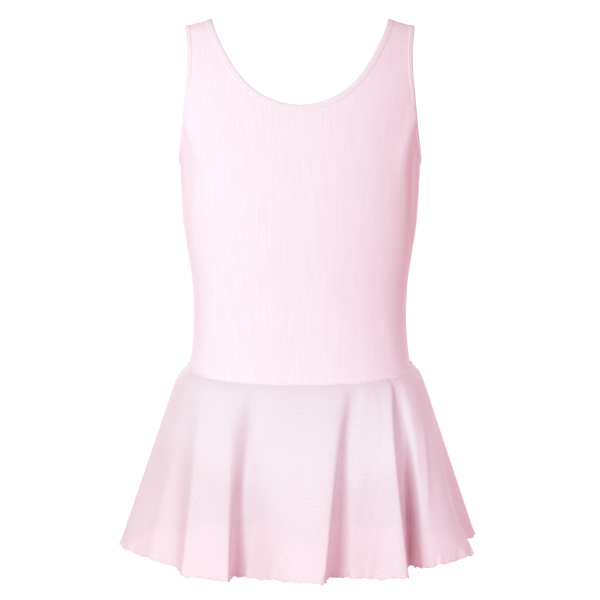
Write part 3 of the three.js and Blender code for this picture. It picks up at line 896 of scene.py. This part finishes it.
def bodice_panel(name, facing):
    neck_rows = BODICE_ROWS["neck"][facing]
    front = facing * math.pi / 2
    arm = panel_edge(OPENINGS["armhole"], facing, BODICE_ROWS["armhole"], 0)
    neck = panel_edge(OPENINGS["neck"], facing, neck_rows, front)
    middle_rows = BODICE_ROWS["side"] + BODICE_ROWS["armhole"] - neck_rows
    up_side = levels_up_to(BODICE, 0, arm[1][0], BODICE_ROWS["side"])
    up_middle = levels_up_to(BODICE, front, neck[1][0], middle_rows)
    sides, middles = joined(up_side, arm), joined(up_middle, neck)
    return body_panel(
        name, BODICE, sides, middles, BODICE_ROWS["across"], BODICE_ROWS["rise"], facing
    )


bodice_front = bodice_panel("jersey_bodice_front", 1)
bodice_back = bodice_panel("jersey_bodice_back", -1)
finish_panels(
    BODICE, BODICE_CREASES, ((bodice_front, 1, "bodice_front"), (bodice_back, -1, "bodice_back"))
)

# %% Brief front and back
BRIEF_ROWS = {"side": 18, "leg": 66, "across": 44, "hip_at_middle": -322}


def brief_panel(name, facing):
    front = facing * math.pi / 2
    leg_rows = BRIEF_ROWS["leg"]
    hem_angle, hem_level = panel_edge(OPENINGS["leg"], facing, leg_rows, 0)
    up_side = levels_up_to(BRIEF, 0, hem_level[0], BRIEF_ROWS["side"])
    hip = level_of(BRIEF, BRIEF_ROWS["hip_at_middle"])
    up_middle = levels_up_to(BRIEF, front, hip, BRIEF_ROWS["side"])
    share = np.arange(leg_rows + 1) / leg_rows
    even = hip + (BRIEF_CROTCH - hip) * share
    middle = np.full(leg_rows + 1, front), even + (hem_level - even) * share
    sides, middles = joined(up_side, (hem_angle, hem_level)), joined(up_middle, middle)
    return body_panel(name, BRIEF, sides, middles, BRIEF_ROWS["across"], 1, facing)


BRIEF_CREASES = {
    1: [
        (6, 0.7, (-88, -372), (-66, -386), (-48, -404)),
        (6, 0.8, (86, -374), (64, -390), (44, -410)),
    ],
    -1: [
        (7, 0.9, (-90, -380), (-66, -398), (-44, -420)),
        (7, 0.8, (88, -384), (66, -402), (46, -422)),
        (8, -1.2, (2, -350), (0, -385), (1, -425)),
    ],
}
brief_front = brief_panel("jersey_brief_front", 1)
brief_back = brief_panel("jersey_brief_back", -1)
finish_panels(
    BRIEF, BRIEF_CREASES, ((brief_front, 1, "brief_front"), (brief_back, -1, "brief_back"))
)

# %% [markdown]
# ## The skirt's folds
# The skirt is two halves of a flared circle. Its flare falls in folds that start just below the
# waist and reach full depth at the hem. Each fold has its angle at the waist and its place at the
# hem. A simulation would make its own folds, but these have to stand where the photo has them, so
# they are laid by table.

# %% Folds of the skirt
# Angle at the waist, hem across, hem towards the back, how late the fold forms, and how round it
# is at the hem: the ridges with a low roundness fold over into a narrow nose.
FOLDS = np.array([
    (0, 139, 10, 1.2, 0.58), (8, 150, -38, 1.2, 0.22), (21, 127, -67, 1.2, 0.58),
    (35.5, 105, -74, 1.4, 0.5), (42.5, 95, -43, 1.15, 0.5), (46.5, 91.5, -119, 0.8, 0.16),
    (53.5, 66, -116, 1.1, 0.5), (60, 41, -98, 1.15, 0.5), (66, 24, -92, 1.03, 0.5),
    (73, 20, -140, 1.15, 0.18), (89, -12, -122, 1.3, 0.5), (104, -43, -96, 1.2, 0.5),
    (111, -57.5, -90, 1.0, 0.5), (121, -60.5, -129, 1.15, 0.18), (134, -99.5, -110, 1.15, 0.12),
    (145, -107, -70, 1.2, 0.5), (162, -133, -42, 1.2, 0.58), (180, -159, 4, 1.2, 0.5),
    (193, -142, 48, 1.2, 0.58), (207, -140, 88, 1.2, 0.3), (221, -104, 86, 1.2, 0.5),
    (235, -87, 127, 1.2, 0.2), (249, -52, 108, 1.2, 0.5), (263, -27, 142, 1.2, 0.25),
    (278, 8, 112, 1.2, 0.5), (293, 43, 140, 1.2, 0.18), (307, 66, 106, 1.2, 0.5),
    (321, 110, 113, 1.2, 0.25), (334, 118, 74, 1.2, 0.5), (347, 157, 58, 1.2, 0.3),
])
LEFT_SEAM = 0
RIGHT_SEAM = 17
SKIRT_WIDE = 156
SKIRT_DEEP = {1: 113, -1: 116}
SKIRT_SIDE_HEM = -459
SKIRT_FRONT_DIP = 10
SPRING_OUT = 7.3
SPRING_OVER = 0.035
FOLD_LIFT = 0.07
SEAM_GAP = 0.3


# The skirt's inside at a place round it, counted in folds, and a share of the way down.
def skirt_points(place, down):
    count = len(FOLDS)
    first = np.floor(place).astype(int)
    share = (place - first)[..., None]
    rows = []
    for step in (-1, 0, 1, 2):
        row = FOLDS[(first + step) % count].copy()
        row[..., 0] += 360 * ((first + step) // count)
        rows.append(row)
    read = through(*rows, share)
    hem = through(*rows, share, rows[1][..., 4:], rows[2][..., 4:])[..., 1:3]
    angle = np.radians(read[..., 0])
    top = form_points(BRIEF, angle, level_of(BRIEF, seam_height(angle)))
    across, ahead = unit_ring(angle)
    outwards = unit(np.stack([across, -ahead], axis=-1))
    deep = np.where(ahead > 0, SKIRT_DEEP[1], SKIRT_DEEP[-1])
    plain = np.stack([SKIRT_WIDE * across, -deep * ahead], axis=-1)
    fold = hem - plain
    reach = np.sum(fold * outwards, axis=-1)
    dip = np.where(ahead > 0, SKIRT_FRONT_DIP * np.abs(ahead) ** 1.5, 0)
    bottom = SKIRT_SIDE_HEM - dip + FOLD_LIFT * reach
    spring = SPRING_OUT * (1 - down) * (1 - np.exp(-down / SPRING_OVER))
    start = top[..., :2] + outwards * SEAM_GAP
    plan = start + (plain - start) * down[..., None] + outwards * spring[..., None]
    plan = plan + fold * (down ** read[..., 3])[..., None]
    height = top[..., 2] + SEAM_GAP + (bottom - top[..., 2] - SEAM_GAP) * down
    return np.concatenate([plan, height[..., None]], axis=-1)


def skirt_normals(place, down):
    round_it = skirt_points(place + STEP, down) - skirt_points(place - STEP, down)
    low = np.minimum(1, down + STEP)
    high = np.maximum(0, down - STEP)
    along_it = skirt_points(place, low) - skirt_points(place, high)
    return unit(np.cross(round_it, along_it))


hem_points = skirt_points(np.linspace(0, len(FOLDS), 2000), np.ones(2000))
HEM_LENGTH = float(gaps(hem_points).sum())
print("The hem measures", round(HEM_LENGTH), "mm round its folds")

# %% [markdown]
# ## Georgette skirt
# Besides its main folds the skirt has shorter creases, small puckers where it is gathered into the
# seam, and a hem whose rolled edge is stretched as it is sewn, so that it waves. The puckers and
# waves come from sums of sines with fixed phases, uneven but the same in every run.

# %% Lay the skirt
SKIRT_GRID = {"per_fold": 22, "rows": 92, "closer_above": 1.25}
GEORGETTE_THICK = 0.5
LEG_LINE_BLUR = 14
CLEAR_OF_CLOTH = (-440, -350)
# The place at its top and bottom, how far down it starts and ends, its width in folds, its height.
CREASES_DOWN = [
    (7.7, 8.2, 0.01, 0.8, 0.6, -1.6),
    (4.5, 4.6, 0.0, 1.0, 0.27, -6.0),
    (0.8, 1.1, 0.25, 0.99, 0.45, -6.0),
    (9.9, 9.6, 0.35, 1.0, 0.14, -1.0),
    (6.3, 6.9, 0.25, 0.95, 0.25, 0.8),
    (5.9, 6.3, 0.55, 1.0, 0.2, -0.9),
    (2.4, 2.7, 0.2, 0.8, 0.2, 1.0),
    (15.4, 15.9, 0.35, 1.0, 0.22, 1.2),
    (16.5, 16.3, 0.15, 0.7, 0.2, -0.8),
    (13.4, 13.7, 0.25, 0.9, 0.16, 0.9),
    (19.4, 19.6, 0.3, 1.0, 0.2, 1.0),
    (22.5, 22.2, 0.25, 0.9, 0.2, 1.0),
    (25.5, 25.7, 0.35, 1.0, 0.2, -1.0),
    (28.4, 28.7, 0.2, 0.8, 0.2, 1.0),
]


def uneven_waves(run, waves):
    return sum(size * np.sin(2 * math.pi * run / length + phase) for length, size, phase in waves)


# Wave length in millimetres of hem, height and phase.
HEM_WAVES = [(13.0, 0.3, 0.3), (19.3, 0.4, 1.9), (8.7, 0.14, 4.1), (33.0, 0.45, 2.6)]
HEM_RIPPLES = [(10.1, 0.25, 1.1), (15.9, 0.45, 3.3), (24.7, 0.5, 5.2)]
PUCKERS = [(17.3, 0.10, 0.0), (27.1, 0.13, 2.2), (41.7, 0.15, 4.4)]
HEM_WAVES_FROM = 0.93
PUCKER_START = (0.005, 0.05)
PUCKER_REACH = 0.16
WAIST_TO_HEM = 0.55
DOWN_FADE_IN = 0.35
DOWN_FADE_OUT = 0.3


def dressed_skirt(place, down):
    points = skirt_points(place, down)
    normals = skirt_normals(place, down)
    run = place / len(FOLDS) * HEM_LENGTH
    near_hem = smooth_step(down, HEM_WAVES_FROM, 1.0)
    near_seam = smooth_step(down, *PUCKER_START) * np.exp(-((down / PUCKER_REACH) ** 2))
    lift = uneven_waves(run, HEM_RIPPLES) * near_hem
    lift = lift + uneven_waves(run * WAIST_TO_HEM, PUCKERS) * near_seam
    for top, bottom, start, end, width, height in CREASES_DOWN:
        share = np.clip((down - start) / (end - start), 0, 1)
        middle = top + (bottom - top) * share
        fade = smooth_step(down, start, start + DOWN_FADE_IN * (end - start))
        if end < 1:
            fade = fade * (1 - smooth_step(down, end - DOWN_FADE_OUT * (end - start), end))
        lift = lift + height * fade * np.exp(-(((place - middle) / width) ** 2))
    points = points + normals * lift[..., None]
    points[..., 2] += uneven_waves(run, HEM_WAVES) * near_hem
    return points, normals


def skirt_half(name, start, end):
    columns = (end - start) * SKIRT_GRID["per_fold"] + 1
    steps = np.linspace(0, 1, SKIRT_GRID["rows"] + 1) ** SKIRT_GRID["closer_above"]
    place, down = np.meshgrid(np.linspace(start, end, columns), steps)
    points, normals = dressed_skirt(place, down)
    points = points + normals * GEORGETTE_THICK
    around = running_total(gaps(points, axis=1).mean(axis=0))
    along = -running_total(gaps(points).mean(axis=1))
    cloth_uv = np.stack(np.meshgrid(around, along), axis=-1)
    return lay_grid(name, points, cloth_uv, normals)


# How much of the leotard lies behind each point of the skirt, from 0 below the leg's edge to 1.
# The share paints the skirt paler there: painted light from the leotard behind the cloth.
def mark_painted_show_through(piece, facing):
    leg_line = form_points(BRIEF, *leg_edge(facing, np.linspace(0, 1, 200)))
    order = np.argsort(leg_line[:, 0])
    points = read_vertices(piece, "co") / MM
    edge = np.interp(np.abs(points[:, 0]), leg_line[order, 0], leg_line[order, 2])
    backed = smooth_step(points[:, 2] - edge, -LEG_LINE_BLUR, LEG_LINE_BLUR)
    backed = backed * smooth_step(points[:, 2], *CLEAR_OF_CLOTH)
    layer = piece.data.attributes.new("painted_show_through_share", "FLOAT", "POINT")
    layer.data.foreach_set("value", backed)
    print(piece.name, "is backed by the leotard on", round(100 * backed.mean()), "% of its points")


skirt_front = skirt_half("georgette_skirt_front", LEFT_SEAM, RIGHT_SEAM)
skirt_back = skirt_half("georgette_skirt_back", RIGHT_SEAM, len(FOLDS))
for piece, facing, node in ((skirt_front, 1, "skirt_front"), (skirt_back, -1, "skirt_back")):
    mark_painted_show_through(piece, facing)
    piece.data.materials.append(georgette)
    piece.data.materials.append(georgette_inside)
    thicken(piece, GEORGETTE_THICK, inside=1)
    finish_piece(piece, None, "georgette", node)
    print_cloth(piece)

# %% [markdown]
# ## Rolls and bands
# Seams, hems and bindings are long narrow forms that follow an edge. A curve with a bevel would do
# for the roll of the hem, but a binding has to bend with the cloth under it. So both are laid as a
# grid, a section repeated along the edge, and closed by merging the first and the last rows.

# %% Sweep a section along an edge
# Lays rows of points, one row for each stop round the edge, as a tube that is closed both ways. Its
# length is measured along one column of the points.
def lay_tube(name, points, measured_at):
    middle = points.mean(axis=1, keepdims=True)
    middle = np.concatenate([middle, middle[:1]])
    points = np.concatenate([points, points[:, :1]], axis=1)
    points = np.concatenate([points, points[:1]])
    run = running_total(gaps(points[:, measured_at]))
    turn = running_total(gaps(points, axis=1).mean(axis=0))
    cloth_uv = np.stack(np.meshgrid(turn, run), axis=-1)[..., ::-1]
    piece = lay_grid(name, points, cloth_uv, points - middle)
    edit(piece, lambda: bpy.ops.mesh.remove_doubles(threshold=1e-6))
    return piece, float(run[-1])


# A shape's points at each stop, laid along that stop's own directions.
def placed(at, directions, shape):
    points = at[:, None]
    for axis, direction in enumerate(directions):
        points = points + direction[:, None] * shape[None, :, axis, None]
    return points


def round_section(wide, high, sides):
    turns = np.arange(sides) * 2 * math.pi / sides
    return np.stack([wide * np.cos(turns), high * np.sin(turns)], axis=-1)


print("A round section of 8 sides starts at", round_section(1, 1, 8)[0])

# %% Rolled hem
HEM_STOPS = 900
HEM_ROLL = (0.6, 0.75)
HEM_TUCK = 0.3
JUST_ABOVE_HEM = 0.98
hem_stops = np.linspace(0, len(FOLDS), HEM_STOPS + 1)[:-1]
hem_line, hem_out = dressed_skirt(hem_stops, np.ones(HEM_STOPS))
hem_down = unit(hem_line - dressed_skirt(hem_stops, np.full(HEM_STOPS, JUST_ABOVE_HEM))[0])
hem_centres = hem_line + hem_out * GEORGETTE_THICK / 2 - hem_down * HEM_TUCK
hem_points = placed(hem_centres, (hem_out, hem_down), round_section(*HEM_ROLL, 8))
rolled_hem, hem_run = lay_tube("rolled_hem", hem_points, 0)
finish_piece(rolled_hem, thread, "georgette")
print("The rolled hem is", round(hem_run), "mm round")

# %% Waist seam
# The seam allowance under the cloth lifts it into a thin rounded ridge, with a small bump where
# the overlocking ends at the wearer's left side.
SEAM_STOPS = 480
SEAM_LENGTH = 560
SEAM_OVER_EDGE = 0.4
SEAM_LIFT = 0.25
SEAM_WAVES = [(19.0, 0.16, 0.4), (31.0, 0.2, 2.0), (8.3, 0.08, 1.0)]
END_BUMP = {"height": 0.9, "half_angle": 0.055}
seam_angles = np.arange(SEAM_STOPS) * 2 * math.pi / SEAM_STOPS
seam_levels = level_of(BODICE, seam_height(seam_angles) + SEAM_OVER_EDGE)
seam_out = form_normals(BODICE, seam_angles, seam_levels)
seam_lift = SEAM_LIFT + uneven_waves(seam_angles / (2 * math.pi) * SEAM_LENGTH, SEAM_WAVES)
from_end = np.minimum(seam_angles, 2 * math.pi - seam_angles)
seam_lift = seam_lift + END_BUMP["height"] * np.exp(-((from_end / END_BUMP["half_angle"]) ** 2))
seam_centres = form_points(BODICE, seam_angles, seam_levels) + seam_out * seam_lift[:, None]
seam_up = unit(np.cross(seam_out, np.roll(seam_centres, -1, 0) - np.roll(seam_centres, 1, 0)))
seam_points = placed(seam_centres, (seam_up, seam_out), round_section(1.5, 0.8, 10))
waist_seam, seam_run = lay_tube("waist_seam_ridge", seam_points, 0)
finish_piece(waist_seam, jersey, "jersey")
print("The waist seam is", round(seam_run), "mm round")

# %% [markdown]
# ## Bindings
# Each opening has a folded strip over elastic, about 6 mm wide. Its section is a flat loop with
# soft corners, which clasps the edge of the panel from both sides. The stops follow the opening
# round the front, over the crest or the side seam, and back.

# %% Sew on the bindings
BAND_CORNER = 0.45
BAND_OUTER = 0.4
BAND_INNER = -1.3
NECK_ROWS = {1: 70, -1: 84}
SIDE_ROWS = {"armhole": 96, "leg": 92}
SIDE_BANDS = [(name, side, mirror) for side, mirror in (("left", 1), ("right", -1)) for name in SIDE_ROWS]


# A flat loop with soft corners: distance into the cloth, and height over the form.
def band_section(width):
    return [
        (0, 0), (0.1, BAND_OUTER - 0.3), (BAND_CORNER, BAND_OUTER), (width * 0.3, BAND_OUTER + 0.18),
        (width * 0.55, BAND_OUTER + 0.2), (width * 0.8, BAND_OUTER + 0.1),
        (width - BAND_CORNER, BAND_OUTER - 0.1), (width, BAND_OUTER - 0.6),
        (width - BAND_CORNER, BAND_INNER + 0.2), (width * 0.75, BAND_INNER),
        (width * 0.4, BAND_INNER), (BAND_CORNER, BAND_INNER + 0.1), (0.05, BAND_INNER + 0.5),
    ]


# A section's points at each stop, a facing and a share of the edge, round an opening.
def band_points(opening, stops, section):
    form = opening["form"]
    points = np.zeros((len(stops), len(section), 3))
    for facing in (1, -1):
        chosen = np.array([index for index, stop in enumerate(stops) if stop[0] == facing])
        shares = np.array([stops[index][1] for index in chosen])
        for column, (distance, height) in enumerate(section):
            angle, level = inset(opening, facing, shares, distance)
            lift = form_normals(form, angle, level) * height
            points[chosen, column] = form_points(form, angle, level) + lift
    return points


# The neck runs from the middle of the front to the middle of the back on the left side, and its
# mirror image comes back on the right. An armhole or a leg is one whole round.
def neck_points(section):
    opening = OPENINGS["neck"]
    stops = [(1, share) for share in even_shares(opening, 1, NECK_ROWS[1])[:-1]]
    stops += [(-1, share) for share in even_shares(opening, -1, NECK_ROWS[-1])[::-1]]
    left = band_points(opening, stops, section)
    return np.concatenate([left, left[1:-1][::-1] * (-1, 1, 1)])


def side_points(name, mirror, section):
    opening = OPENINGS[name]
    stops = [(1, share) for share in even_shares(opening, 1, SIDE_ROWS[name])[:-1]]
    stops += [(-1, share) for share in even_shares(opening, -1, SIDE_ROWS[name])[:0:-1]]
    return band_points(opening, stops, section) * (mirror, 1, 1)


neck_width = OPENINGS["neck"]["width"]
bindings = {"neck": lay_tube("neck_band", neck_points(band_section(neck_width)), 3)}
finish_piece(bindings["neck"][0], binding_jersey, "binding", "neck_binding")
for name, side, mirror in SIDE_BANDS:
    points = side_points(name, mirror, band_section(OPENINGS[name]["width"]))
    piece, length = lay_tube(f"{name}_band_{side}", points, 3)
    bindings[f"{name}_{side}"] = (piece, length)
    finish_piece(piece, binding_jersey, "binding", f"{name}_binding_{side}")
for name, (piece, length) in bindings.items():
    print(name, "band is", round(length), "mm round")

# %% [markdown]
# ## Stitches on the bindings
# A row of small straight stitches holds each binding down near its inner edge. One stitch is
# modelled as a tiny stretched sphere, and its copies are joined into one mesh from arrays, because
# hundreds of separate objects would be slow.

# %% Sew the stitches
STITCH_LENGTH = 2.0
STITCH_PITCH = 3.0
STITCH_THICK = 0.34
STITCH_FROM_EDGE = 1.3
STITCH_HEIGHT = 0.45


def stitch_row(name, row):
    row = np.concatenate([row, row[:1]])
    line, out = row[:, 0], row[:, 1] - row[:, 0]
    run = running_total(gaps(line))
    count = int(run[-1] / STITCH_PITCH)
    middles = (np.arange(count) + 0.5) * run[-1] / count

    def along_row(values, shift):
        return np.stack([np.interp(middles + shift, run, values[:, k]) for k in range(3)], axis=-1)

    up = unit(along_row(out, 0))
    along = unit(along_row(line, 0.5) - along_row(line, -0.5))
    bpy.ops.object.select_all(action="DESELECT")
    bpy.ops.mesh.primitive_uv_sphere_add(segments=6, ring_count=4, radius=1, location=(0, 0, 0))
    pattern = bpy.context.object
    shape = read_vertices(pattern, "co") * (STITCH_THICK, STITCH_THICK, STITCH_LENGTH / 2)
    faces = [list(polygon.vertices) for polygon in pattern.data.polygons]
    bpy.data.objects.remove(pattern)
    points = placed(along_row(line, 0), (np.cross(up, along), up, along), shape)
    mesh = bpy.data.meshes.new(name)
    copies = [[corner + copy * len(shape) for corner in face]
              for copy in range(count) for face in faces]
    mesh.from_pydata((points.reshape(-1, 3) * MM).tolist(), [], copies)
    piece = bpy.data.objects.new(name, mesh)
    bpy.context.scene.collection.objects.link(piece)
    mesh.uv_layers.new(name="UVMap")
    uv = read_vertices(piece, "co")[corner_vertices(mesh)][:, [0, 2]]
    mesh.uv_layers["UVMap"].data.foreach_set("uv", uv.ravel())
    edit(piece, lambda: bpy.ops.mesh.normals_make_consistent(inside=False))
    finish_piece(piece, thread, "binding")
    print(count, "stitches")


# A stitch's place, and a place 1 mm straight above it.
def stitch_section(width):
    return [(width - STITCH_FROM_EDGE, STITCH_HEIGHT), (width - STITCH_FROM_EDGE, STITCH_HEIGHT + 1)]


stitch_row("neck_stitches", neck_points(stitch_section(neck_width)))
for name, side, mirror in SIDE_BANDS:
    row = side_points(name, mirror, stitch_section(OPENINGS[name]["width"]))
    stitch_row(f"{name}_stitches_{side}", row)
